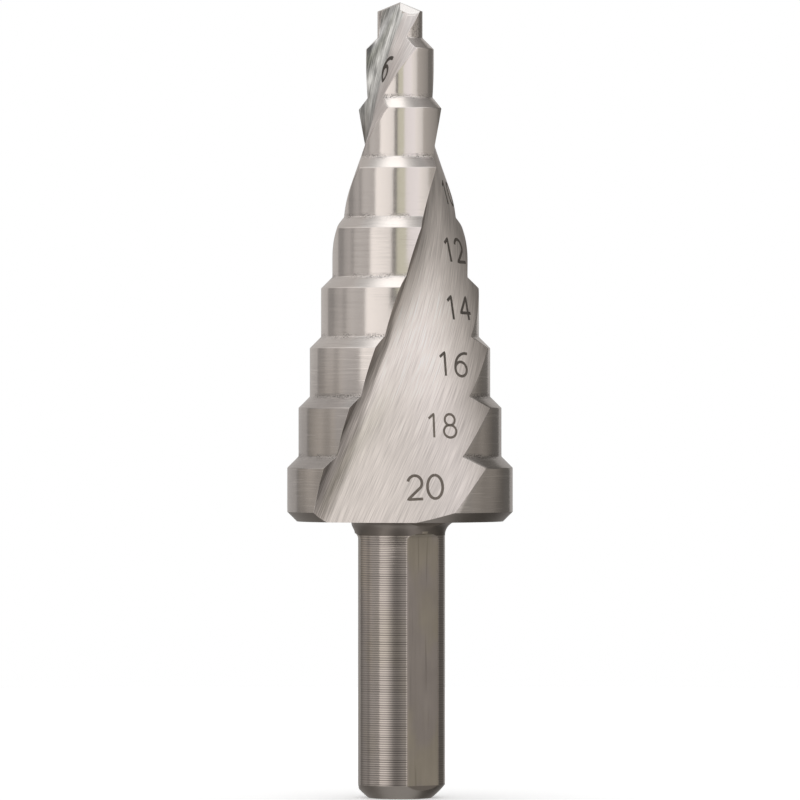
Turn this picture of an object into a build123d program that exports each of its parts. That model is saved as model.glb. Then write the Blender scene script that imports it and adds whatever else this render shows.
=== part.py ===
import os
from math import cos, degrees, log, radians, sin, tan

from build123d import *

# Sizes in mm. The axis is Z, the shank's end face lies at Z = 0 and the point is up.

# Shank, with its three clamping flats
SHANK_DIAMETER = 8.0
SHANK_LENGTH = 24.5
SHANK_END_CHAMFER = 1.2
SHANK_END_CROWN = 0.05
FLAT_COUNT = 3
FLAT_DEPTH = 0.37
FLAT_LENGTH = 23.5
FLAT_RUNOUT_RADIUS = 0.6
FLAT_FIRST_ANGLE = -56.6
NECK_FILLET = 1.2

# Steps, from the pilot at the point to the largest at the shank
STEP_COUNT = 9
PILOT_DIAMETER = 4.0
STEP_RISE = 2.0
STEP_PITCH = 5.3
PILOT_LENGTH = 3.35
LARGEST_LENGTH = 4.75
BACK_CHAMFER = 0.85
FOOT_FILLET = 0.15

# Point, split across its middle
POINT_ANGLE = 135.0
NOTCH_SLOPE = 43.0
NOTCH_TURN = 9.0

# Two helical flutes, ground along the cone that the steps' corners lie on
FLUTE_COUNT = 2
HELIX_ANGLE = 21.3
LEAD_ANGLE = -42.0
HEEL_ANGLE = 49.0
HEEL_SPREAD = 48.0
HEEL_EXIT = 75.0
ROOT_SHARE = 0.20
ROOT_RADIUS = 0.56
ROOT_GROWTH = 0.93
FACE_SHARE = 0.45
FACE_RADIUS = 0.70
FACE_GROWTH = 0.91
CREST_SHARE = 0.74
CREST_RADIUS = 1.38
CREST_GROWTH = 0.93
FLUTE_STATIONS = 33
WHEEL_REACH = 1.25

# Sizes that follow from the ones above
shank_radius = SHANK_DIAMETER / 2
pilot_radius = PILOT_DIAMETER / 2
step_height = STEP_RISE / 2
largest_radius = pilot_radius + step_height * (STEP_COUNT - 1)
point_height = pilot_radius / tan(radians(POINT_ANGLE / 2))
largest_corner = SHANK_LENGTH + LARGEST_LENGTH
pilot_shoulder = largest_corner + STEP_PITCH * (STEP_COUNT - 2)
point_corner = pilot_shoulder + PILOT_LENGTH
overall_length = point_corner + point_height
helix_rate = tan(radians(HELIX_ANGLE)) * STEP_PITCH / step_height


def step_radius(step):
    """Radius of a step, counted from 0 at the shank."""
    return largest_radius - step * step_height


def corner_height(step):
    """Height at which a step's full radius ends and its 45 degree chamfer begins."""
    return largest_corner + step * STEP_PITCH


def envelope_radius(height):
    """Radius, at a height, of the cone through the steps' corners."""
    return largest_radius - (height - largest_corner) * step_height / STEP_PITCH


def envelope_height(radius):
    """Height at which that cone has a radius."""
    return largest_corner + (largest_radius - radius) * STEP_PITCH / step_height


def helix_turn(height):
    """Degrees that the flutes have turned at a height, at one helix angle on that cone."""
    return degrees(helix_rate * log(largest_radius / envelope_radius(height)))


tip_radius = envelope_radius(overall_length)


def rounded(profile, corners, fillet_radius):
    """The profile with a fillet at each of some corners, given as radius and height."""
    chosen = []
    for vertex in profile.vertices():
        if any(abs(vertex.X - radius) + abs(vertex.Z - height) < 0.001 for radius, height in corners):
            chosen.append(vertex)
    return fillet(chosen, fillet_radius)


def turned_body():
    """The turned blank: shank, nine steps with their chamfers, and the conical point."""
    end_face_rim = (shank_radius - SHANK_END_CHAMFER, 0)
    chamfer_top = (shank_radius, SHANK_END_CHAMFER)
    neck = (shank_radius, SHANK_LENGTH)
    outline = [
        chamfer_top,
        neck,
        (largest_radius - BACK_CHAMFER, SHANK_LENGTH),
        (largest_radius, SHANK_LENGTH + BACK_CHAMFER),
    ]
    feet = []
    for step in range(STEP_COUNT - 1):
        corner = corner_height(step)
        outline.append((step_radius(step), corner))
        feet.append((step_radius(step + 1), corner + step_height))
        outline.append(feet[-1])
    outline += [(pilot_radius, point_corner), (0, overall_length), (0, 0), end_face_rim]
    crowned_chamfer = SagittaArc(end_face_rim, chamfer_top, -SHANK_END_CROWN)
    profile = Plane.XZ * make_face([Polyline(*outline), crowned_chamfer])
    profile = rounded(profile, [neck], NECK_FILLET)
    profile = rounded(profile, feet, FOOT_FILLET)
    return revolve(profile, Axis.Z)


def polar(radius, angle):
    """A point of a flute's section. Angles grow from the middle of its opening, at -Y."""
    return (radius * sin(radians(angle)), -radius * cos(radians(angle)))


def flute_section(height):
    """What the grinding wheel takes out at a height, closed well outside the steps."""
    envelope = envelope_radius(height)
    growth = envelope - tip_radius
    heel_angle = HEEL_ANGLE + HEEL_SPREAD * (tip_radius / envelope) ** 3
    width = heel_angle - LEAD_ANGLE
    outside = envelope * WHEEL_REACH

    lead = polar(envelope, LEAD_ANGLE)
    root = polar(ROOT_RADIUS + ROOT_GROWTH * growth, LEAD_ANGLE + ROOT_SHARE * width)
    face = polar(FACE_RADIUS + FACE_GROWTH * growth, LEAD_ANGLE + FACE_SHARE * width)
    crest = polar(CREST_RADIUS + CREST_GROWTH * growth, LEAD_ANGLE + CREST_SHARE * width)
    heel = polar(envelope, heel_angle)
    lead_out = polar(outside, LEAD_ANGLE)
    heel_out = polar(outside, heel_angle)
    middle_out = polar(outside, LEAD_ANGLE + width / 2)

    inward = polar(-1, LEAD_ANGLE)
    along_rim = polar(1, heel_angle + HEEL_EXIT)
    ground = Spline([lead, root, face, crest, heel], tangents=[inward, along_rim])
    rim = ThreePointArc(heel_out, middle_out, lead_out)
    loop = Wire([ground, Line(heel, heel_out), rim, Line(lead_out, lead)])
    return Pos(0, 0, height) * Rot(0, 0, helix_turn(height)) * make_face(loop)


def flute_cutter():
    """One flute, from below the largest step's back face to above the point.

    Its sections follow each other at even steps of the helix's turn.
    """
    widest = envelope_radius(SHANK_LENGTH - NECK_FILLET)
    narrowest = envelope_radius(overall_length + point_height / 2)
    sections = []
    for station in range(FLUTE_STATIONS):
        envelope = widest * (narrowest / widest) ** (station / (FLUTE_STATIONS - 1))
        sections.append(flute_section(envelope_height(envelope)))
    return loft(sections, ruled=True)


def point_notch():
    """The steep facet that splits the point, ground behind one flute's opening."""
    size = PILOT_DIAMETER
    block = Pos(size / 2, 0, size / 2) * Box(size, size * 2, size)
    sloped = Rot(NOTCH_SLOPE, 0, 0) * block
    turn = helix_turn(point_corner) + NOTCH_TURN
    return Pos(0, 0, overall_length) * Rot(0, 0, turn) * sloped


def shank_flats():
    """Three milled flats that the chuck's jaws grip, with the cutter's rounded run-out."""
    inner = shank_radius - FLAT_DEPTH
    width = SHANK_DIAMETER
    block = Pos(inner + width / 2, 0, FLAT_LENGTH / 2) * Box(width, width, FLAT_LENGTH)
    end = block.edges().filter_by(Axis.Y).group_by(Axis.X)[0].sort_by(Axis.Z)[-1]
    block = fillet(end, FLAT_RUNOUT_RADIUS)
    spacing = 360 / FLAT_COUNT
    return [Rot(0, 0, FLAT_FIRST_ANGLE + spacing * index) * block for index in range(FLAT_COUNT)]


def step_drill():
    drill = turned_body()
    cutters = shank_flats()
    flute = flute_cutter()
    notch = point_notch()
    for index in range(FLUTE_COUNT):
        turn = Rot(0, 0, 360 / FLUTE_COUNT * index)
        cutters.append(turn * flute)
        cutters.append(turn * notch)
    for cutter in cutters:
        drill = drill - cutter
    return drill


os.makedirs("parts", exist_ok=True)
export_step(step_drill(), "parts/step_drill.step")
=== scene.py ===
import math

import bmesh
import bpy
import numpy as np
from mathutils import Matrix, Vector
from mathutils.bvhtree import BVHTree


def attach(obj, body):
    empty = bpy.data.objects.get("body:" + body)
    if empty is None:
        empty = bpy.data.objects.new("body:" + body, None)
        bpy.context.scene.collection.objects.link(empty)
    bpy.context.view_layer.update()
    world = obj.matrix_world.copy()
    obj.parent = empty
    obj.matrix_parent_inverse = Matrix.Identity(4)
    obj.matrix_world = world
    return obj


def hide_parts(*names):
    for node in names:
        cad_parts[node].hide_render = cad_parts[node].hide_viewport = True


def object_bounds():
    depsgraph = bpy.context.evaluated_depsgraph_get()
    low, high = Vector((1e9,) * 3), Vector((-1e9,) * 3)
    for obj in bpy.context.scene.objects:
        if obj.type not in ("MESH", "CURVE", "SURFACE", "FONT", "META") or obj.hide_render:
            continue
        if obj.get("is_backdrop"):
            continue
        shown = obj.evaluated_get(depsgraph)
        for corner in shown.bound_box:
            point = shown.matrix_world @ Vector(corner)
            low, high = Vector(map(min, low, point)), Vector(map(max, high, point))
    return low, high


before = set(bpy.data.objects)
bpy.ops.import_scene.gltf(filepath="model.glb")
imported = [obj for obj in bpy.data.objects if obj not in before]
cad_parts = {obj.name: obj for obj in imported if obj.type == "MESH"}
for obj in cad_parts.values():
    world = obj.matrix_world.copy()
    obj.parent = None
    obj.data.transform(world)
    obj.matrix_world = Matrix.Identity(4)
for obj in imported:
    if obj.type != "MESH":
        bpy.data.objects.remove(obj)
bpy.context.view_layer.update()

# The drill's body: one bar of high-speed steel. The shank and the nine steps are turned and
# ground, three flats are milled on the shank for the chuck, and two flutes are ground along
# the cone through the steps' corners. The point is split across its middle.
MM = 0.001
SHANK_RADIUS = 4.0 * MM
SHANK_LENGTH = 24.5 * MM
SHANK_END_CHAMFER = 1.2 * MM
SHANK_END_CROWN = 0.05 * MM
NECK_FILLET = 1.2 * MM
FLAT_DISTANCE = 3.63 * MM
FLAT_LENGTH = 23.5 * MM
FLAT_RUNOUT = 0.6 * MM
FLAT_ANGLE = math.radians(33.4)
STEP_COUNT = 9
STEP_RISE = 1.0 * MM
STEP_PITCH = 5.3 * MM
LARGEST_RADIUS = 10.0 * MM
LARGEST_LENGTH = 4.75 * MM
PILOT_LENGTH = 3.35 * MM
BACK_CHAMFER = 0.85 * MM
FOOT_FILLET = 0.15 * MM
EDGE_WEAR = 0.03 * MM
FLUTE_WEAR = 0.012 * MM
CHAMFER_ANGLE = math.radians(45.0)
DIAGONAL = math.sqrt(0.5)
POINT_ANGLE = math.radians(135.0)
NOTCH_SLOPE = math.radians(43.0)
NOTCH_TURN = math.radians(9.0)
HELIX_RATE = math.tan(math.radians(21.3)) * STEP_PITCH / STEP_RISE
LEAD_ANGLE = math.radians(-42.0)
HEEL_ANGLE = math.radians(49.0)
HEEL_SPREAD = math.radians(48.0)
HEEL_EXIT = math.radians(75.0)

# Points of the flute's curve: share of its width, radius at the point of the drill, growth.
# At both ends the curve runs a little way beyond the cone.
FLUTE_ROOT = (0.20, 0.56 * MM, 0.93)
FLUTE_FACE = (0.45, 0.70 * MM, 0.91)
FLUTE_CREST = (0.74, 1.38 * MM, 0.93)
FLUTE_OVERRUN = 1.05

# The flute's darker root, a duller grind with painted shade: its share of the flute low down,
# and how it widens towards the point
ROOT_SHARE = 0.16
ROOT_WIDENING = 0.62
ROOT_NARROW_UP_TO = 0.3

# How far up a step the rough dots at its foot reach, and how strong they are on the slope
DOTS_REACH = 0.45 * MM
DOTS_ON_SLOPE = 0.6

# The turning tool's fine ridges on the shank, mostly worn away on one side of each stretch
RIDGE_PITCH = 0.2 * MM
RIDGE_DEPTH = 0.022 * MM
RIDGES_KEPT = 0.66
RIDGES_SWING = 0.34
RIDGES_PHASE = 2.1
RIDGE_MEAN = 0.4

# How many points a ring of the mesh has on each flute, land, flat and round stretch
FLUTE_POINTS = 42
LAND_POINTS = 30
FLAT_POINTS = 14
ROUND_POINTS = 34
CURVE_SAMPLES = 240

# How many rings each stretch of the outline has, from the largest step's back face to the
# point, and then from the neck down to the end face
BACK_ROWS = 5
DOTS_ROWS = 4
LAND_ROWS = 11
SLOPE_ROWS = 5
PILOT_ROWS = 8
POINT_ROWS = 16
NECK_ROWS = 12
RUNOUT_ROWS = 10
END_ROWS = 13
BACK_RING_RADIUS = 7.2 * MM

# Points closer than this become one, and edges more bent than this stay sharp
MERGE_DISTANCE = 0.0002 * MM
SHARP_ANGLE = math.radians(28)

# Places of the body's finishes in its list of materials
LAND, FLUTE, SHANK, FLAT, BACK, NOTCH = range(6)

largest_corner = SHANK_LENGTH + LARGEST_LENGTH
pilot_radius = LARGEST_RADIUS - STEP_RISE * (STEP_COUNT - 1)
point_corner = largest_corner + STEP_PITCH * (STEP_COUNT - 2) + PILOT_LENGTH
overall_length = point_corner + pilot_radius / math.tan(POINT_ANGLE / 2)
neck_bottom = SHANK_LENGTH - NECK_FILLET
random = np.random.default_rng(4)
ridge_depths = RIDGE_DEPTH * random.uniform(0.6, 1.0, int(neck_bottom / RIDGE_PITCH) + 2)


def envelope_radius(height):
    """Radius, at a height, of the cone through the steps' corners."""
    return LARGEST_RADIUS - (height - largest_corner) * STEP_RISE / STEP_PITCH


def flute_turn(height):
    """How far the flutes have turned at a height, at one helix angle on that cone."""
    return HELIX_RATE * math.log(LARGEST_RADIUS / envelope_radius(height))


tip_radius = envelope_radius(overall_length)


def polar(radius, angle):
    """A point seen from above the drill. Angles grow from the front, at -Y, towards +X."""
    return np.array([radius * math.sin(angle), -radius * math.cos(angle)])


def smooth_curve(points, first_direction, last_direction):
    """Samples of the smooth cubic curve through some points, with its end directions given."""
    spans = np.linalg.norm(np.diff(points, axis=0), axis=1)
    count = len(points)
    system = np.eye(count)
    known = np.zeros((count, 2))
    known[0] = first_direction
    known[-1] = last_direction
    for i in range(1, count - 1):
        before, after = spans[i - 1], spans[i]
        system[i, i - 1 : i + 2] = [1 / before, 2 / before + 2 / after, 1 / after]
        known[i] = 3 * (points[i] - points[i - 1]) / before**2
        known[i] += 3 * (points[i + 1] - points[i]) / after**2
    slopes = np.linalg.solve(system, known)
    samples = []
    for i in range(count - 1):
        is_last = i == count - 2
        t = np.linspace(0, 1, CURVE_SAMPLES // (count - 1), endpoint=is_last)[:, None]
        samples.append(
            (1 + 2 * t) * (1 - t) ** 2 * points[i]
            + t * (1 - t) ** 2 * spans[i] * slopes[i]
            + t**2 * (3 - 2 * t) * points[i + 1]
            + t**2 * (t - 1) * spans[i] * slopes[i + 1]
        )
    return np.concatenate(samples)


def flute_curve(height):
    """The flute's section at a height, from its leading edge to its heel, before it is turned."""
    envelope = envelope_radius(height)
    heel_angle = HEEL_ANGLE + HEEL_SPREAD * (tip_radius / envelope) ** 3
    width = heel_angle - LEAD_ANGLE
    points = [polar(envelope, LEAD_ANGLE)]
    for share, radius, growth in (FLUTE_ROOT, FLUTE_FACE, FLUTE_CREST):
        points.append(polar(radius + growth * (envelope - tip_radius), LEAD_ANGLE + share * width))
    points.append(polar(envelope, heel_angle))
    inward, along_rim = polar(-1, LEAD_ANGLE), polar(1, heel_angle + HEEL_EXIT)
    curve = smooth_curve(np.array(points), inward, along_rim)
    outside = envelope * FLUTE_OVERRUN
    return np.concatenate([[polar(outside, LEAD_ANGLE)], curve, [polar(outside, heel_angle)]])


def head_ring(height, radius):
    """One ring of the head: flute, land, flute, land, with a slightly worn edge at each corner.

    With it comes each point's grain: distance across the flute, height, and how far it lies
    beyond the root's edge, as a share of the flute.
    """
    curve = flute_curve(height)
    distance = np.hypot(curve[:, 0], curve[:, 1])
    angle = np.unwrap(np.arctan2(curve[:, 0], -curve[:, 1]))
    length = np.concatenate([[0], np.cumsum(np.linalg.norm(np.diff(curve, axis=0), axis=1))])
    place = np.arange(len(curve), dtype=float)
    lowest = int(distance.argmin())

    def crossings(at_radius):
        if at_radius <= distance[lowest]:
            return float(lowest), float(lowest)
        lead = np.interp(-at_radius, -distance[: lowest + 1], place[: lowest + 1])
        out = lowest + int(np.argmax(distance[lowest:] >= at_radius))
        heel = np.interp(at_radius, distance[out - 1 : out + 1], place[out - 1 : out + 1])
        return lead, heel

    lead, heel = crossings(radius - FLUTE_WEAR)
    spots = np.linspace(lead, heel, FLUTE_POINTS)
    flute = np.stack([np.interp(spots, place, curve[:, axis]) for axis in (0, 1)], axis=1)
    if lead == heel:
        flute = flute * radius / np.linalg.norm(flute[0])
    across = np.interp(spots, place, length)
    lead, heel = crossings(radius)
    wear = FLUTE_WEAR / max(radius, FLUTE_WEAR) if lead < heel else 0
    first = np.interp(heel, place, angle) + wear
    last = np.interp(lead, place, angle) + math.pi - wear
    around = np.linspace(first, last, LAND_POINTS)
    land = np.stack([radius * np.sin(around), -radius * np.cos(around)], axis=1)

    turn = flute_turn(height)
    half = np.concatenate([flute, land])
    cosine, sine = math.cos(turn), math.sin(turn)
    half = half @ np.array([[cosine, sine], [-sine, cosine]])
    ring = np.concatenate([half, -half])
    across = np.concatenate([across, np.full(LAND_POINTS, across[-1])])
    slimness = tip_radius / envelope_radius(height)
    crease = ROOT_SHARE + ROOT_WIDENING * max(0.0, slimness - ROOT_NARROW_UP_TO)
    grain = np.column_stack([across, np.full(len(across), height), across / length[-1] - crease])
    return np.column_stack([ring, np.full(len(ring), height)]), np.concatenate([grain, grain])


def flat_distance(height):
    """Distance of the flats from the axis: constant, then the cutter's rounded run-out."""
    into = max(0.0, height - (FLAT_LENGTH - FLAT_RUNOUT))
    return FLAT_DISTANCE + FLAT_RUNOUT - math.sqrt(max(0.0, FLAT_RUNOUT**2 - into**2))


def ridges_left(bearing):
    """Share of the ridges' depth that is left at a bearing round the shank."""
    return RIDGES_KEPT + RIDGES_SWING * np.sin(3 * bearing + RIDGES_PHASE)


def shank_ring(height, radius, opening, depth):
    """One ring of the shank: three times a flat, then a round stretch.

    Where the shank has no flats, opening says how wide their places are, from 0 to 1.
    """
    distance = flat_distance(height)
    widest = math.acos(FLAT_DISTANCE / SHANK_RADIUS)
    half = math.acos(distance / radius) if radius > distance else 0.0
    parts = []
    for side in range(3):
        middle = FLAT_ANGLE + math.radians(120) * side
        across = np.linspace(-1, 1, FLAT_POINTS)
        if half > 0:
            inset = max(0.0, math.tan(half) * distance - EDGE_WEAR)
            bearing = np.arctan(across * inset / distance)
            reach = distance / np.cos(bearing)
            clear = half + EDGE_WEAR / radius
        else:
            bearing = across * widest * opening
            reach = np.full(FLAT_POINTS, radius)
            clear = widest * opening * (1 + 2 / FLAT_POINTS)
        angles = middle + bearing
        parts.append(np.stack([reach * np.sin(angles), -reach * np.cos(angles)], axis=1))
        following = middle + math.radians(120)
        angles = np.linspace(middle + clear, following - clear, ROUND_POINTS)
        reach = radius + depth * RIDGE_DEPTH * (1 - ridges_left(angles))
        parts.append(np.stack([reach * np.sin(angles), -reach * np.cos(angles)], axis=1))
    ring = np.concatenate(parts)
    return np.column_stack([ring, np.full(len(ring), height)])


def straight(start, end, count):
    """Evenly spaced points on a straight stretch of the outline, its end left out."""
    return [tuple(row) for row in np.linspace(start, end, count, endpoint=False)]


def head_outline():
    """The head's outline, from the back face's rim to the point.

    Each row has a height, a radius and how near it lies to a step's foot, from 0 to 1.
    """
    worn = EDGE_WEAR * DIAGONAL
    rim = (SHANK_LENGTH, LARGEST_RADIUS - BACK_CHAMFER, 0)
    foot = SHANK_LENGTH + BACK_CHAMFER
    rows = straight(rim, (foot, LARGEST_RADIUS, 0), BACK_ROWS)
    foot_mark = 0
    for step in range(STEP_COUNT - 1):
        radius = LARGEST_RADIUS - STEP_RISE * step
        corner = largest_corner + STEP_PITCH * step
        dots_end = foot + DOTS_REACH
        land_end = corner - 3 * EDGE_WEAR
        rows += straight((foot, radius, foot_mark), (dots_end, radius, 0), DOTS_ROWS)
        rows += straight((dots_end, radius, 0), (land_end, radius, 0), LAND_ROWS)
        rows += [(land_end, radius, 0), (corner - EDGE_WEAR, radius, 0)]
        rows += [(corner + worn, radius - worn, 0), (corner + 3 * worn, radius - 3 * worn, 0)]
        tangent = FOOT_FILLET * math.tan(CHAMFER_ANGLE / 2)
        slope_left = STEP_RISE - tangent * DIAGONAL
        slope_end = (corner + slope_left, radius - slope_left, DOTS_ON_SLOPE)
        rows += straight((corner + 6 * worn, radius - 6 * worn, 0), slope_end, SLOPE_ROWS)
        foot = corner + STEP_RISE + tangent
        foot_mark = 1
        for bend in np.radians([0, 15, 30]):
            swing = CHAMFER_ANGLE - bend
            rise = foot - FOOT_FILLET * math.sin(swing)
            rows.append((rise, radius - STEP_RISE + FOOT_FILLET * (1 - math.cos(swing)), 1))
    dots_end = foot + DOTS_REACH
    rows += straight((foot, pilot_radius, 1), (dots_end, pilot_radius, 0), DOTS_ROWS)
    rows += straight((dots_end, pilot_radius, 0), (point_corner, pilot_radius, 0), PILOT_ROWS)
    rows += straight((point_corner, pilot_radius, 0), (overall_length, 0.0, 0), POINT_ROWS)
    return rows


def ridge_at(height):
    """Depth of the ridges at a height: a fine zigzag like a thread, each turn a bit different."""
    turn, inside = divmod(height / RIDGE_PITCH, 1)
    return ridge_depths[int(turn)] * (1 - abs(2 * inside - 1))


def shank_outline():
    """The shank's outline, from the neck down to the end face.

    Each row has a height, a radius, the opening of the flats' places and a share of ridge depth.
    """
    cut = SHANK_RADIUS - FLAT_DISTANCE
    runout = math.sqrt(FLAT_RUNOUT**2 - (FLAT_RUNOUT - cut) ** 2)
    runout_end = FLAT_LENGTH - FLAT_RUNOUT + runout
    bends = np.linspace(0, math.pi / 2, NECK_ROWS)
    heights = [neck_bottom + NECK_FILLET * math.cos(bend) for bend in bends]
    heights = [height for height in heights if height > runout_end + 0.02 * MM]
    heights += list(runout_end - (runout_end - neck_bottom) * np.linspace(0, 1, RUNOUT_ROWS) ** 2)
    step = RIDGE_PITCH / 6
    heights += list(np.arange(neck_bottom - step, FLAT_LENGTH - FLAT_RUNOUT, -step))
    turns = int(heights[-1] / RIDGE_PITCH * 2)
    halves = np.arange(turns, int(SHANK_END_CHAMFER / RIDGE_PITCH * 2), -1)
    heights += list(halves * RIDGE_PITCH / 2)
    rows = []
    for height in heights:
        rise = max(0.0, height - neck_bottom)
        fillet = NECK_FILLET - math.sqrt(NECK_FILLET**2 - min(rise, NECK_FILLET) ** 2)
        opening = max(0.0, (height - runout_end) / (SHANK_LENGTH - runout_end))
        depth = ridge_at(height) if height < neck_bottom else 0.0
        rows.append((height, SHANK_RADIUS + fillet - depth, opening, depth / RIDGE_DEPTH))

    chord = SHANK_END_CHAMFER * math.sqrt(2)
    bow = chord**2 / (8 * SHANK_END_CROWN) + SHANK_END_CROWN / 2
    half = math.asin(chord / 2 / bow)
    for share in np.linspace(-1, 1, END_ROWS):
        along = bow * math.sin(half * share)
        out = bow * math.cos(half * share) - (bow - SHANK_END_CROWN)
        height = SHANK_END_CHAMFER / 2 - (along + out) * DIAGONAL
        radius = SHANK_RADIUS - SHANK_END_CHAMFER / 2 + (out - along) * DIAGONAL
        opening = min(1.0, max(0.0, (FLAT_DISTANCE - radius) / (SHANK_END_CHAMFER - cut)))
        rows.append((max(height, 0.0), radius, opening, 0.0))
    return rows


def build_body(finishes):
    """Rings from the point down to the end face, joined by quads, each with its finish.

    Attributes carry what the finishes need to know: the flute's grain, how near a step's foot
    lies, and how deep the shank's ridges are.
    """
    head_rows = [(overall_length, 0.0, 0.0)] + head_outline()[::-1]
    count = 2 * (FLUTE_POINTS + LAND_POINTS)
    rings = []
    grains = []
    for height, radius, foot in head_rows:
        # The last ring stays just short of the point, where its section would shrink to nothing
        height = min(height, overall_length - 0.001 * MM)
        ring, grain = head_ring(height, max(radius, 0.0001 * MM))
        rings.append(ring)
        grains.append(grain)
    feet = [np.full(count, foot) for height, radius, foot in head_rows]
    column = [FLUTE] * (FLUTE_POINTS - 1) + [LAND] * (LAND_POINTS + 1)
    skins = [column * 2 for _ in rings[1:]]
    for row in range(len(rings) - BACK_ROWS - 1, len(skins)):
        skins[row] = [BACK if skin == LAND else skin for skin in skins[row]]

    # One ring on the back face, halfway to the neck
    rim = rings[-1]
    bearing = np.arctan2(rim[:, 0], -rim[:, 1])
    across, toward = BACK_RING_RADIUS * np.sin(bearing), -BACK_RING_RADIUS * np.cos(bearing)
    rings.append(np.column_stack([across, toward, rim[:, 2]]))
    skins.append([BACK] * count)

    shank_rows = shank_outline()
    shank = [shank_ring(*row) for row in shank_rows]
    first = np.arctan2(shank[0][:, 0], -shank[0][:, 1])
    shift = int(np.argmax(np.cos(first - bearing[0])))
    shank_column = ([FLAT] * (FLAT_POINTS - 1) + [SHANK] * (ROUND_POINTS + 1)) * 3
    shank_column = list(np.roll(shank_column, -shift))
    shank = [np.roll(ring, -shift, axis=0) for ring in shank]
    rings += shank
    skins.append([BACK] * count)
    neck_column = [BACK if skin == SHANK else skin for skin in shank_column]
    for height, radius, opening, depth in shank_rows[1:]:
        is_end = height < SHANK_END_CHAMFER * 0.99
        if opening > 0 or is_end:
            skins.append([BACK] * count)
        else:
            skins.append(neck_column if height > neck_bottom - 0.05 * MM else shank_column)
    rings.append(np.zeros_like(rim))
    skins.append([BACK] * count)

    ridges = [np.zeros(count)] * (len(head_rows) + 1)
    for ring, (height, radius, opening, depth) in zip(shank, shank_rows):
        left = ridges_left(np.arctan2(ring[:, 0], -ring[:, 1]))
        ridges.append(RIDGE_MEAN + (depth - RIDGE_MEAN) * left)
    ridges.append(np.zeros(count))
    faces = []
    for row in range(len(rings) - 1):
        for spot in range(count):
            after = (spot + 1) % count
            above, below = row * count, (row + 1) * count
            faces.append((above + spot, above + after, below + after, below + spot))
    mesh = bpy.data.meshes.new("drill_body")
    mesh.from_pydata(np.concatenate(rings).tolist(), [], faces)
    mesh.polygons.foreach_set("material_index", np.concatenate(skins).astype(np.int32))
    rest = np.zeros(((len(rings) - len(grains)) * count, 3))
    grain = mesh.attributes.new("grain", "FLOAT_VECTOR", "POINT")
    grain.data.foreach_set("vector", np.concatenate(grains + [rest]).ravel())
    foot = mesh.attributes.new("foot", "FLOAT", "POINT")
    foot.data.foreach_set("value", np.concatenate(feet + [rest[:, 0]]))
    ridge = mesh.attributes.new("ridge", "FLOAT", "POINT")
    ridge.data.foreach_set("value", np.concatenate(ridges))
    joined = bmesh.new()
    joined.from_mesh(mesh)
    bmesh.ops.remove_doubles(joined, verts=joined.verts, dist=MERGE_DISTANCE)
    bmesh.ops.recalc_face_normals(joined, faces=joined.faces)
    joined.to_mesh(mesh)
    joined.free()
    for finish in finishes:
        mesh.materials.append(finish)
    return mesh


def notch_block(side, finishes):
    """A sloped block that stands for the wheel's path where it splits the point."""
    size = 2 * pilot_radius
    place = Matrix.Translation((0, 0, overall_length))
    place = place @ Matrix.Rotation(side + flute_turn(point_corner) + NOTCH_TURN, 4, "Z")
    place = place @ Matrix.Rotation(NOTCH_SLOPE, 4, "X")
    place = place @ Matrix.Translation((size / 2, 0, size / 2))
    place = place @ Matrix.Diagonal((size, 2 * size, size, 1))
    cutter = bmesh.new()
    bmesh.ops.create_cube(cutter, size=1, matrix=place)
    for face in cutter.faces:
        face.material_index = NOTCH
    mesh = bpy.data.meshes.new("notch_block")
    cutter.to_mesh(mesh)
    cutter.free()
    for finish in finishes:
        mesh.materials.append(finish)
    block = bpy.data.objects.new("notch_block", mesh)
    bpy.context.scene.collection.objects.link(block)
    return block


class Shade:
    """A node's output in a material. Sums and products of outputs become Math nodes."""

    def __init__(self, tree, output=None):
        self.tree = tree
        self.output = output

    def node(self, kind, settings, sockets, result=0):
        """Adds a node: its type, its settings, then the values or links of its sockets."""
        made = self.tree.nodes.new("ShaderNode" + kind)
        for name, value in settings.items():
            setattr(made, name, value)
        for name, value in sockets.items():
            if isinstance(value, Shade):
                self.tree.links.new(value.output, made.inputs[name])
            else:
                made.inputs[name].default_value = value
        return Shade(self.tree, made.outputs[result])

    def math(self, operation, first, second):
        return self.node("Math", {"operation": operation}, {0: first, 1: second})

    def __add__(self, other):
        return self.math("ADD", self, other)

    def __sub__(self, other):
        return self.math("SUBTRACT", self, other)

    def __rsub__(self, other):
        return self.math("SUBTRACT", other, self)

    def __mul__(self, other):
        return self.math("MULTIPLY", self, other)

    __radd__ = __add__
    __rmul__ = __mul__

    def noise(self, where, stretch, detail=2.0):
        """Noise, 0 to 1, whose features are about 1 / stretch metres wide along each axis."""
        scaled = self.node("VectorMath", {"operation": "MULTIPLY"}, {0: where, 1: stretch})
        return self.node("TexNoise", {}, {"Vector": scaled, "Scale": 1.0, "Detail": detail})

    def between(self, value, low, high):
        """0 below low, 1 above high, and a soft step between them."""
        settings = {"interpolation_type": "SMOOTHSTEP"}
        return self.node("MapRange", settings, {"Value": value, "From Min": low, "From Max": high})

    def blend(self, share, first, second):
        """The first colour where share is 0, the second where it is 1."""
        return self.node("Mix", {"data_type": "RGBA"}, {0: share, 6: first, 7: second}, 2)

    def tint(self, tinted, tone):
        """A colour made darker or lighter by a tone."""
        grey = self.node("CombineColor", {}, {0: tone, 1: tone, 2: tone})
        settings = {"data_type": "RGBA", "blend_type": "MULTIPLY"}
        return self.node("Mix", settings, {0: 1.0, 6: tinted, 7: grey}, 2)

    def attribute(self, name, result=2):
        return self.node("Attribute", {"attribute_name": name}, {}, result)


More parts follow.
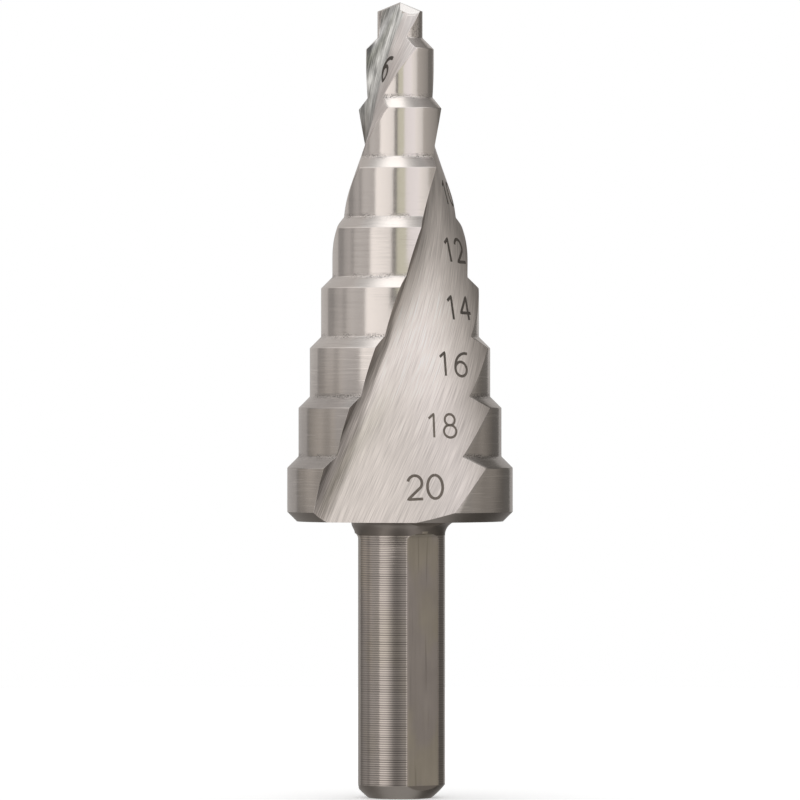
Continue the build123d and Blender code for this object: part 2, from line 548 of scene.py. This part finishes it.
class Steel:
    """A metal finish: a Principled shader whose constants are set on its own sockets.

    The stretch draws its reflections out along the grinding marks, and turn says which way.
    """

    def __init__(self, name, roughness, stretch, turn):
        self.material = bpy.data.materials.new(name)
        self.material.use_nodes = True
        self.tree = self.material.node_tree
        self.shader = self.tree.nodes["Principled BSDF"]
        self.shader.inputs["Metallic"].default_value = 1.0
        self.shader.inputs["Roughness"].default_value = roughness
        self.shader.inputs["Anisotropic"].default_value = stretch
        self.shader.inputs["Anisotropic Rotation"].default_value = turn
        self.shade = Shade(self.tree)
        self.place = self.shade.node("TexCoord", {}, {}, 3)

    def feed(self, name, value):
        self.tree.links.new(value.output, self.shader.inputs[name])

    def bump(self, height, distance):
        sockets = {"Height": height, "Distance": distance, "Strength": 1.0}
        self.feed("Normal", self.shade.node("Bump", {}, sockets))


def colour(red, green, blue):
    return (red, green, blue, 1.0)


def ground_land():
    """Round faces: short fine lines round the drill, rough dots at each foot, a dull pilot."""
    steel = Steel("ground_land", 0.2, 0.55, 0.25)
    shade = steel.shade
    height = shade.node("SeparateXYZ", {}, {0: steel.place}, 2)
    lines = shade.noise(steel.place, (330, 330, 8500), 4)
    patches = shade.noise(steel.place, (260, 260, 420), 2)
    scratches = shade.between(shade.noise(steel.place, (170, 170, 6500), 1), 0.64, 0.70)
    dots = shade.between(shade.noise(steel.place, (8000, 8000, 11000), 1), 0.5, 0.58)
    foot = shade.between(shade.attribute("foot"), 0.25, 0.9)
    foot = foot * shade.between(shade.noise(steel.place, (500, 500, 150), 1), 0.35, 0.6)
    oiled = 0.66 + shade.between(height, 31 * MM, 42 * MM) * 0.34
    oiled = oiled + shade.between(height, 51 * MM, 58 * MM) * 0.10
    pilot = shade.between(height, 67.2 * MM, 67.4 * MM)
    pilot = pilot - shade.between(height, 69.6 * MM, 69.75 * MM)
    specks = shade.noise(steel.place, (7000, 7000, 5000), 2)
    bands = shade.noise(steel.place, (1100, 1100, 40), 1)
    tone = 0.73 + lines * 0.26 + patches * 0.16 + bands * 0.10 + scratches * 0.14
    tone = tone * oiled * (1 - dots * foot * 0.6) * (1 - pilot * (0.95 - specks * 1.7))
    bright = shade.blend(tone, colour(0.0, 0.0, 0.0), colour(0.83, 0.785, 0.755))
    steel.feed("Base Color", bright)
    steel.feed("Roughness", 0.16 + lines * 0.08 + foot * 0.15)
    steel.bump(lines + scratches * 0.5, 0.003 * MM)
    return steel.material


def ground_flute():
    """Flutes: long streaks along the helix, and a darker root beside the leading edge: a duller
    grind with painted shade, and low down a thin painted shadow along the edge itself.

    The grain gives the distance across the flute, the height, and a share that is below 0 in
    the root and above it on the face. The finish changes along the flute as well: brighter in
    its middle, greyer and mottled towards the point, with a dark burr at the second step. Near
    the point the face carries a painted reflection beside the root.
    """
    steel = Steel("ground_flute", 0.36, 0.7, 0.0)
    shade = steel.shade
    grain = shade.attribute("grain", 1)
    share = shade.node("SeparateXYZ", {}, {0: grain}, 2)
    height = shade.node("SeparateXYZ", {}, {0: grain}, 1)
    fine = shade.noise(grain, (12500, 380, 0), 3)
    coarse = shade.noise(grain, (2600, 120, 0), 2)
    mottle = shade.noise(grain, (2400, 500, 0), 3)
    tip = shade.between(height, 55 * MM, 63 * MM)
    low = 1 - shade.between(height, 26 * MM, 36 * MM)
    narrow = shade.between(height, 40 * MM, 43 * MM) - shade.between(height, 46 * MM, 50 * MM)
    inner = share + narrow * 0.03
    face = shade.between(inner + (coarse - 0.5) * 0.08, -0.03, 0.03)
    edge = shade.between(inner + (coarse - 0.5) * 0.12, -0.19, -0.05)
    spread = 2.0 - face
    tone = 1.0 + (fine - 0.5) * spread + (coarse - 0.5) * spread * 0.32

    # Painted shadow: a thin dark line along the leading edge, low down on the flute
    rim = (1 - shade.between(share, -0.09, -0.02)) * (1 - shade.between(height, 36 * MM, 42 * MM))
    # The root's tone: a duller grind, with painted shade darkest towards the leading edge
    dull_root_and_shade = 0.48 + edge * 0.46 + (1 - edge) * low * 0.26
    dull_root_and_shade = dull_root_and_shade + tip * (0.42 + (mottle - 0.5) * 2.2)
    dull_root_and_shade = dull_root_and_shade * (1 - rim * 0.36)
    burr = shade.between(height, 63 * MM, 65 * MM)
    burr = burr - shade.between(height, 66.6 * MM, 67.2 * MM)
    dull_root_and_shade = dull_root_and_shade * (1 - burr * (1 - shade.between(share, -0.37, -0.24)) * 0.68)
    root = shade.blend(tip, colour(0.47, 0.435, 0.41), colour(0.60, 0.61, 0.60))

    # Painted reflection: near the point the face is brightest beside the root, fading away from it
    painted_reflection_fade = shade.between(share, 0.0, 0.35)
    far = shade.between(share, 0.38, 0.72) * shade.between(height, 28 * MM, 36 * MM)
    top = shade.between(height, 66.5 * MM, 69 * MM)
    upper = shade.blend(painted_reflection_fade, colour(0.98, 0.93, 0.91), colour(0.68, 0.635, 0.615))
    upper = shade.tint(upper, 1.0 - top * 0.2)
    lower = shade.blend(far, colour(0.85, 0.805, 0.775), colour(0.58, 0.545, 0.52))
    plain = shade.blend(tip, lower, upper)
    # Brighter at the flute's middle heights, darker low down
    brighter_middle = shade.between(height, 31 * MM, 39 * MM) - shade.between(height, 43 * MM, 49 * MM)
    plain = shade.tint(plain, 1.0 + brighter_middle * 0.12 - low * 0.08)

    metal = shade.blend(face, shade.tint(root, dull_root_and_shade), plain)
    steel.feed("Base Color", shade.tint(metal, tone))
    steel.feed("Roughness", 0.29 + coarse * 0.12)
    steel.bump(fine + coarse * 0.5, 0.004 * MM)
    return steel.material


def turned_shank():
    """The shank's round stretches: painted shade in the grooves between the ridges, faint stains.
    """
    steel = Steel("turned_shank", 0.15, 0.4, 0.25)
    shade = steel.shade
    patches = shade.noise(steel.place, (300, 300, 300), 3)
    lines = shade.noise(steel.place, (250, 250, 5000), 2)
    tone = 0.86 + patches * 0.2 + lines * 0.1
    # Painted shade: the grooves between the ridges are darker than their crests
    tone = tone * (1.46 - shade.attribute("ridge") * 1.1)
    stain = shade.between(shade.noise(steel.place, (330, 330, 140), 2), 0.48, 0.66)
    metal = shade.blend(stain, colour(0.43, 0.393, 0.367), colour(0.42, 0.383, 0.345))
    steel.feed("Base Color", shade.tint(metal, tone))
    steel.bump(patches, 0.003 * MM)
    return steel.material


def milled_flat():
    """The clamping flats: dull, with faint lengthwise marks from the mill and brown stains."""
    steel = Steel("milled_flat", 0.36, 0.3, 0.0)
    shade = steel.shade
    marks = shade.noise(steel.place, (4200, 4200, 200), 2)
    patches = shade.noise(steel.place, (420, 420, 260), 3)
    stain = shade.between(shade.noise(steel.place, (260, 260, 150), 2), 0.45, 0.62)
    scored = shade.between(shade.noise(steel.place, (3000, 3000, 110), 1), 0.60, 0.70) * patches
    tone = 0.72 + marks * 0.16 + patches * 0.4 - scored * 0.3
    metal = shade.blend(stain, colour(0.362, 0.328, 0.305), colour(0.375, 0.34, 0.285))
    steel.feed("Base Color", shade.tint(metal, tone))
    steel.bump(marks + patches, 0.002 * MM)
    return steel.material


def shaded_turned_back():
    """The back face, its chamfer, the neck and the shank's end: turned, and darkened as painted
    shade.
    """
    steel = Steel("shaded_turned_back", 0.4, 0.5, 0.25)
    shade = steel.shade
    patches = shade.noise(steel.place, (300, 300, 900), 3)
    height = shade.node("SeparateXYZ", {}, {0: steel.place}, 2)
    # The dark colour is painted shade on these downward faces, a little less of it on the end
    # chamfer
    end = 1 - shade.between(height, 1.15 * MM, 1.3 * MM)
    tone = (0.8 + patches * 0.3) * (1 + end * 0.08)
    steel.feed("Base Color", shade.tint(colour(0.23, 0.207, 0.187), tone))
    return steel.material


def ground_notch():
    """The steep facets that split the point: bright, but dull where they meet the cone."""
    steel = Steel("ground_notch", 0.25, 0.3, 0.0)
    shade = steel.shade
    lines = shade.noise(steel.place, (6000, 1500, 1500), 2)
    across = shade.node("SeparateXYZ", {}, {0: steel.place}, 0)
    deep = shade.node("SeparateXYZ", {}, {0: steel.place}, 1)
    height = shade.node("SeparateXYZ", {}, {0: steel.place}, 2)
    away = shade.math("POWER", across * across + deep * deep, 0.5)
    below_cone = overall_length - away * (1 / math.tan(POINT_ANGLE / 2)) - height
    inside = 0.72 + shade.between(below_cone, 0.0, 0.09 * MM) * 0.28
    tone = (0.92 + lines * 0.1) * inside
    steel.feed("Base Color", shade.tint(colour(0.76, 0.745, 0.735), tone))
    return steel.material


finishes = [ground_land(), ground_flute(), turned_shank()]
finishes += [milled_flat(), shaded_turned_back(), ground_notch()]
blank = bpy.data.objects.new("drill_blank", build_body(finishes))
bpy.context.scene.collection.objects.link(blank)
blocks = [notch_block(side, finishes) for side in (0, math.pi)]
for block in blocks:
    split = blank.modifiers.new("split_point", "BOOLEAN")
    split.operation = "DIFFERENCE"
    split.solver = "EXACT"
    split.object = block
bpy.context.view_layer.update()
ground = blank.evaluated_get(bpy.context.evaluated_depsgraph_get())
body = bpy.data.objects.new("drill_body", bpy.data.meshes.new_from_object(ground))
bpy.context.scene.collection.objects.link(body)
bpy.data.objects.remove(blank)
for block in blocks:
    bpy.data.objects.remove(block)
body.data.shade_smooth()
body.data.set_sharp_from_angle(angle=SHARP_ANGLE)

# Every ridge and groove of the shank has a sharp line
for edge in body.data.edges:
    low, high = sorted(body.data.vertices[end].co.z for end in edge.vertices)
    if SHANK_END_CHAMFER < low and high < FLAT_LENGTH - FLAT_RUNOUT and high - low < 0.01 * MM:
        edge.use_edge_sharp = True
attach(body, "root")
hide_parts("step_drill")


# The step sizes in millimetres, marked dark on the flute by laser beside their steps. Each
# number is made of thin bands that follow the flute's surface and stand a hundredth proud.
NUMERAL_HEIGHT = 2.12 * MM
STROKE_WIDTH = 0.25 * MM
STROKE_RISE = 0.01 * MM
STROKE_SINK = 0.03 * MM
RAY_LIFT = 3 * MM

# Shares of a numeral's height: from one digit to the next, a digit's width, points of a line
DIGIT_STEP = 0.86
DIGIT_WIDTH = 0.66
LINE_STEP = 0.05


def arc(centre, radii, start, end, count=18):
    """Points on an ellipse, from one angle to another in degrees."""
    (x, y), (wide, tall) = centre, radii
    angles = np.radians(np.linspace(start, end, count))
    return [(x + wide * math.cos(angle), y + tall * math.sin(angle)) for angle in angles]


# Strokes of each digit, in shares of its height
DIGITS = {
    "0": [arc((0.32, 0.5), (0.32, 0.5), 90, 450, 36)],
    "1": [[(0.10, 0.80), (0.36, 1.0), (0.36, 0.0)]],
    "2": [arc((0.33, 0.68), (0.30, 0.32), 165, -35) + [(0.03, 0.0), (0.66, 0.0)]],
    "4": [[(0.50, 0.0), (0.50, 1.0), (0.02, 0.30), (0.68, 0.30)]],
    "6": [
        arc((0.64, 0.36), (0.60, 0.64), 78, 180, 14)
        + arc((0.35, 0.31), (0.31, 0.31), 180, 540, 30)
    ],
    "8": [
        arc((0.33, 0.76), (0.26, 0.24), 270, -90, 26)
        + arc((0.33, 0.27), (0.32, 0.27), 90, 450, 30)
    ],
}

skin = bmesh.new()
skin.from_mesh(body.data)
surface = BVHTree.FromBMesh(skin)


def band_outline(points, width):
    """Left and right edges of a band of some width along a line of points."""
    points = np.array(points)
    along = np.gradient(points, axis=0)
    steps = np.linalg.norm(np.diff(points, axis=0), axis=1)
    for i in range(1, len(points) - 1):
        before = (points[i] - points[i - 1]) / steps[i - 1]
        after = (points[i + 1] - points[i]) / steps[i]
        along[i] = before + after
    along /= np.linalg.norm(along, axis=1)[:, None]
    side = np.column_stack([-along[:, 1], along[:, 0]]) * width / 2
    return points + side, points - side


def dense(points, step):
    """The same line with points no further apart than a step."""
    line = [points[0]]
    for start, end in zip(np.array(points[:-1]), np.array(points[1:])):
        count = max(1, int(math.ceil(math.dist(start, end) / step)))
        line += [tuple(start + (end - start) * i / count) for i in range(1, count + 1)]
    return line


def mark_numeral(text, across, height, lean, squeeze, bold=1.0, anchor=0.5, bearing=0):
    """Marks a number on the flute's surface seen straight behind a place in a level view.

    The view is from the front, or from a bearing in degrees towards the right of it. The number
    leans by some degrees and is squeezed sideways. Its anchor, a share of its width, lies there.
    """
    swing = Matrix.Rotation(math.radians(bearing), 3, "Z")
    start, inward = swing @ Vector((across, -0.1, height)), swing @ Vector((0, 1, 0))
    hit, normal, _, _ = surface.ray_cast(start, inward)
    right = Vector((0, 0, 1)).cross(normal).normalized()
    up = normal.cross(right)
    turned = Matrix.Rotation(math.radians(lean), 3, normal)
    right, up = turned @ right * squeeze, turned @ up
    width = DIGIT_STEP * (len(text) - 1) + DIGIT_WIDTH
    thickness = bold * STROKE_WIDTH / NUMERAL_HEIGHT
    mark = bmesh.new()
    for index, digit in enumerate(text):
        for stroke in DIGITS[digit]:
            rows = []
            for edges in zip(*band_outline(dense(stroke, LINE_STEP), thickness)):
                row = []
                for x, y in edges:
                    x = x + DIGIT_STEP * index - width * anchor
                    flat = hit + right * x * NUMERAL_HEIGHT + up * (y - 0.5) * NUMERAL_HEIGHT
                    spot, away, _, _ = surface.ray_cast(flat + normal * RAY_LIFT, -normal)
                    row.append(mark.verts.new(spot + away * STROKE_RISE))
                    row.append(mark.verts.new(spot - away * STROKE_SINK))
                rows.append(row)
            for before, after in zip(rows[:-1], rows[1:]):
                for first, second in ((0, 2), (2, 3), (3, 1), (1, 0)):
                    mark.faces.new((before[first], before[second], after[second], after[first]))
            mark.faces.new((rows[0][0], rows[0][1], rows[0][3], rows[0][2]))
            mark.faces.new((rows[-1][0], rows[-1][2], rows[-1][3], rows[-1][1]))
    bmesh.ops.recalc_face_normals(mark, faces=mark.faces)
    mesh = bpy.data.meshes.new("numeral_" + text)
    mark.to_mesh(mesh)
    mark.free()
    numeral = bpy.data.objects.new("numeral_" + text, mesh)
    bpy.context.scene.collection.objects.link(numeral)
    numeral.data.materials.append(laser_mark)
    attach(numeral, "root")


laser_mark = bpy.data.materials.new("laser_mark")
laser_mark.use_nodes = True
mark_shade = Shade(laser_mark.node_tree)
mark_shader = laser_mark.node_tree.nodes["Principled BSDF"]
mark_place = mark_shade.node("TexCoord", {}, {}, 3)
mark_tone = mark_shade.noise(mark_place, (5000, 5000, 900), 2)
mark_height = mark_shade.node("SeparateXYZ", {}, {0: mark_place}, 2)
mark_pale = 1 - mark_shade.between(mark_height, 34 * MM, 42 * MM)
mark_dark, mark_light = colour(0.035, 0.028, 0.022), colour(0.085, 0.07, 0.057)
mark_colour = mark_shade.blend(mark_tone, mark_dark, mark_light)
mark_colour = mark_shade.tint(mark_colour, 1 + mark_pale * 1.5)
laser_mark.node_tree.links.new(mark_colour.output, mark_shader.inputs["Base Color"])
mark_shader.inputs["Roughness"].default_value = 0.6

mark_numeral("6", -1.26 * MM, 64.57 * MM, lean=-6, squeeze=0.86, bold=1.4)
mark_numeral("8", 1.9 * MM, 58.9 * MM, lean=-4, squeeze=0.9, bearing=90)
mark_numeral("10", 4.0 * MM, 53.65 * MM, lean=-4, squeeze=0.66, bold=1.1, anchor=0.2)
mark_numeral("12", 4.80 * MM, 48.5 * MM, lean=-1, squeeze=0.82, bold=1.15)
mark_numeral("14", 5.16 * MM, 43.37 * MM, lean=-1.5, squeeze=0.80, bold=1.1)
mark_numeral("16", 4.63 * MM, 38.4 * MM, lean=-2, squeeze=0.84)
mark_numeral("18", 3.66 * MM, 33.0 * MM, lean=-1, squeeze=0.82, bold=0.9)
mark_numeral("20", 2.20 * MM, 27.63 * MM, lean=2, squeeze=0.98)
skin.free()


# The studio's floor: a round pale board with a matt coat, on which the drill stands and which
# carries its shadow. Its paint glows a little to the camera, so that it ends in white.
FLOOR_RADIUS = 0.25
FLOOR_POINTS = 96
FLOOR_GLOW = 0.34
floor_mesh = bpy.data.meshes.new("floor")
floor_rim = []
for angle in np.linspace(0, 2 * math.pi, FLOOR_POINTS, endpoint=False):
    floor_rim.append((FLOOR_RADIUS * math.sin(angle), FLOOR_RADIUS * math.cos(angle), 0))
floor_mesh.from_pydata(floor_rim, [], [tuple(range(FLOOR_POINTS))[::-1]])
floor = bpy.data.objects.new("floor", floor_mesh)
bpy.context.scene.collection.objects.link(floor)
floor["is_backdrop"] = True
paint = bpy.data.materials.new("floor_paint")
paint.use_nodes = True
floor_mesh.materials.append(paint)
floor_shade = Shade(paint.node_tree)
floor_shader = paint.node_tree.nodes["Principled BSDF"]
floor_shader.inputs["Base Color"].default_value = (0.86, 0.86, 0.86, 1)
floor_shader.inputs["Roughness"].default_value = 0.85
floor_shader.inputs["Specular IOR Level"].default_value = 0.1
floor_shader.inputs["Emission Color"].default_value = (1, 1, 1, 1)
seen = floor_shade.node("LightPath", {}, {}, 0) * FLOOR_GLOW
paint.node_tree.links.new(seen.output, floor_shader.inputs["Emission Strength"])
floor.visible_glossy = False


# The studio: pale walls, screens and small cards round the drill, seen only in the steel's
# reflections, a soft box above it, a little to the left, and an even white surround.
WALL_DISTANCE = 1.3
WALL_MIDDLE = 0.035
WALL_TINT = (1.0, 0.955, 0.92)
BROWN_TINT = (1.0, 0.945, 0.88)
DOOR_TINT = (1.0, 0.98, 0.80)
WINDOW_TINT = (1.0, 0.955, 0.96)
CARD_TINT = (1.0, 0.92, 0.83)


def glowing(name, mesh, tones, tint):
    """A board that glows with a tone at each of its points, seen only in glossy reflections."""
    mesh.attributes.new("tone", "FLOAT", "POINT").data.foreach_set("value", tones)
    glow = bpy.data.materials.new(name)
    glow.use_nodes = True
    shade = Shade(glow.node_tree)
    sockets = {"Color": (*tint, 1), "Strength": shade.attribute("tone")}
    light = shade.node("Emission", {}, sockets)
    shown = glow.node_tree.nodes["Material Output"].inputs["Surface"]
    glow.node_tree.links.new(light.output, shown)
    mesh.materials.append(glow)
    board = bpy.data.objects.new(name, mesh)
    bpy.context.scene.collection.objects.link(board)
    board.visible_camera = False
    board.visible_diffuse = False
    board.visible_shadow = False
    board.visible_transmission = False
    board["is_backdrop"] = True


def screen(name, first, last, low, high, tone, last_tone=None, tint=WALL_TINT):
    """A curved studio screen between two bearings and two elevations, in degrees.

    Bearings grow from the camera, at -Y, towards +X. Its tone may change from side to side.
    """
    last_tone = tone if last_tone is None else last_tone
    columns, levels = 13, 9
    points = []
    tones = []
    for elevation in np.radians(np.linspace(low, high, levels)):
        for share in np.linspace(0, 1, columns):
            bearing = math.radians(first + (last - first) * share)
            x, y = polar(WALL_DISTANCE * math.cos(elevation), bearing)
            points.append((x, y, WALL_MIDDLE + WALL_DISTANCE * math.sin(elevation)))
            tones.append(tone + (last_tone - tone) * share)
    faces = []
    for level in range(levels - 1):
        for column in range(columns - 1):
            start = level * columns + column
            faces.append((start, start + 1, start + columns + 1, start + columns))
    mesh = bpy.data.meshes.new(name)
    mesh.from_pydata(points, [], faces)
    glowing(name, mesh, tones, tint)


# Name, first and last bearing, lowest and highest elevation, then tones and tint
screen("left_far_wall", -180, -131, -60, 40, 0.50)
screen("left_gap", -131, -112, -60, 15, 0.28)
screen("left_wall", -112, -93.5, -60, 15, 0.36, 0.45)
screen("left_post", -93.5, -85, -60, 15, 0.35)
screen("left_wall_front", -85, -74, -60, 15, 0.50, 0.54)
screen("left_gap_top", -131, -112, 15, 40, 0.55, 0.72)
screen("left_wall_high", -112, -74, 15, 40, 0.72, 0.66)
screen("left_wall_end", -74, -52, -60, 10, 0.54, 0.44)
screen("left_wall_top", -74, -52, 10, 40, 0.56, 0.72)
screen("window", -52, -14, -60, 10, 1.05, 0.86)
screen("window_top", -52, -14, 10, 40, 1.0, 0.92)
screen("post", -14, -6, -60, 13, 0.19)
screen("post_top", -14, -6, 13, 40, 0.60)
screen("door", -6, 11.5, -60, 13, 0.62, 0.62, DOOR_TINT)
screen("door_top", -6, 11.5, 13, 40, 0.62)
screen("right_window", 11.5, 40, -60, 40, 0.84, 0.92, WINDOW_TINT)
screen("right_window_end", 40, 61, -60, 40, 0.92, 0.70)
screen("right_wall", 61, 112, -60, 40, 0.46, 0.26, BROWN_TINT)
screen("right_gap", 112, 152, -60, 40, 0.165, 0.165, BROWN_TINT)
screen("right_far_wall", 152, 180, -60, 40, 0.45)
screen("left_ceiling_edge", -125, -93, 40, 88, 0.50, 0.98)
screen("left_ceiling", -180, -125, 40, 88, 0.49)
screen("right_ceiling", 94, 128, 40, 88, 0.80, 0.25)
screen("right_ceiling_end", 128, 180, 40, 88, 0.24, 0.18)


def card(name, spots, low, high, tones, tint=WALL_TINT):
    """A small upright card between two heights in mm, with a tone at each of its spots."""
    count = len(spots)
    points = [(x * MM, y * MM, z * MM) for z in (low, high) for x, y in spots]
    faces = [(i, i + 1, i + count + 1, i + count) for i in range(count - 1)]
    mesh = bpy.data.meshes.new(name)
    mesh.from_pydata(points, [], faces)
    glowing(name, mesh, tones * 2, tint)


# A card before the shank, bright at its left and dark in its middle, and one low at each side
# of the largest steps. None reaches the reflections of the steps above them.
FLAG_SPOTS = [(x, -12) for x in (-13.9, -7.9, -6.2, -5.0, -4.3, -3.1, -1.5, 0, 1.2, 4.5)]
FLAG_TONES = (1.04, 1.0, 0.85, 0.64, 0.56, 0.35, 0.29, 0.34, 0.43, 0.53)
card("flag", FLAG_SPOTS, -8, 24.3, FLAG_TONES)
LEFT_SPOTS = [(-90, y) for y in (-24, -16, -9, -1, 7, 16, 25, 34, 48, 60)]
LEFT_TONES = (0.62, 0.64, 0.48, 0.48, 0.60, 0.65, 0.60, 0.52, 0.44, 0.34)
card("left_card", LEFT_SPOTS, 23.8, 36, LEFT_TONES, CARD_TINT)
RIGHT_SPOTS = [(90, y) for y in (-24, -16, -8, 1, 9, 18, 27, 39, 54, 66)]
RIGHT_TONES = (0.46, 0.44, 0.41, 0.35, 0.37, 0.41, 0.39, 0.31, 0.22, 0.17)
card("right_card", RIGHT_SPOTS, 23.8, 36, RIGHT_TONES, CARD_TINT)

# The soft box: its lamp lights the floor and the drill, and its cloth, brightest in the middle,
# is what the chamfers and the split point reflect.
CLOTH_COLUMNS = (-0.62, -0.48, -0.38, -0.27, -0.18, 0.0, 0.07, 0.15, 0.30, 0.48)
CLOTH_TONES = (0.50, 0.52, 0.84, 1.22, 1.36, 1.36, 1.2, 0.76, 0.45, 0.26)
CLOTH_FRONT, CLOTH_BACK = -0.25, 0.45
CLOTH_HEIGHT = 1.03
CLOTH_TINT = (1.0, 0.985, 0.97)
columns = len(CLOTH_COLUMNS)
cloth_points = [(x, y, CLOTH_HEIGHT) for y in (CLOTH_FRONT, CLOTH_BACK) for x in CLOTH_COLUMNS]
cloth_faces = [(i, i + columns, i + columns + 1, i + 1) for i in range(columns - 1)]
cloth_mesh = bpy.data.meshes.new("softbox_cloth")
cloth_mesh.from_pydata(cloth_points, [], cloth_faces)
glowing("softbox_cloth", cloth_mesh, CLOTH_TONES * 2, CLOTH_TINT)

BOX_SIZE = (0.40, 0.7)
BOX_PLACE = (-0.11, 0.1, 1.04)
BOX_TONE = 1.25
box = bpy.data.lights.new("softbox", "AREA")
box.shape = "RECTANGLE"
box.size, box.size_y = BOX_SIZE
box.energy = BOX_TONE * math.pi * BOX_SIZE[0] * BOX_SIZE[1]
softbox = bpy.data.objects.new("softbox", box)
softbox.location = BOX_PLACE
softbox.visible_glossy = False
bpy.context.scene.collection.objects.link(softbox)

# The surround is full white to the camera and in reflections, and lights a little less
world = bpy.data.worlds.new("studio")
bpy.context.scene.world = world
world.use_nodes = True
surround = Shade(world.node_tree)
background = world.node_tree.nodes["Background"]
background.inputs["Color"].default_value = (1, 1, 1, 1)
is_camera = surround.node("LightPath", {}, {}, 0)
is_glossy = surround.node("LightPath", {}, {}, 3)
is_transmission = surround.node("LightPath", {}, {}, 6)
strength = 0.75 + (is_camera + is_glossy + is_transmission) * 0.25
world.node_tree.links.new(strength.output, background.inputs["Strength"])

bpy.context.scene.view_settings.view_transform = "Standard"


# The camera stands level with the drill's middle, with a long lens, as the photograph's did.
# The frame's width is measured at the drill's axis, and sets the lens.
CAMERA_DISTANCE = 0.65
CAMERA_HEIGHT = 0.035255
FRAME_WIDTH = 0.07095
lens = bpy.data.cameras.new("camera")
lens.sensor_width = 36
lens.lens = lens.sensor_width * CAMERA_DISTANCE / FRAME_WIDTH
camera = bpy.data.objects.new("camera", lens)
camera.location = (0, -CAMERA_DISTANCE, CAMERA_HEIGHT)
camera.rotation_euler = (math.radians(90), 0, 0)
bpy.context.scene.collection.objects.link(camera)
bpy.context.scene.camera = camera

low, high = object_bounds()
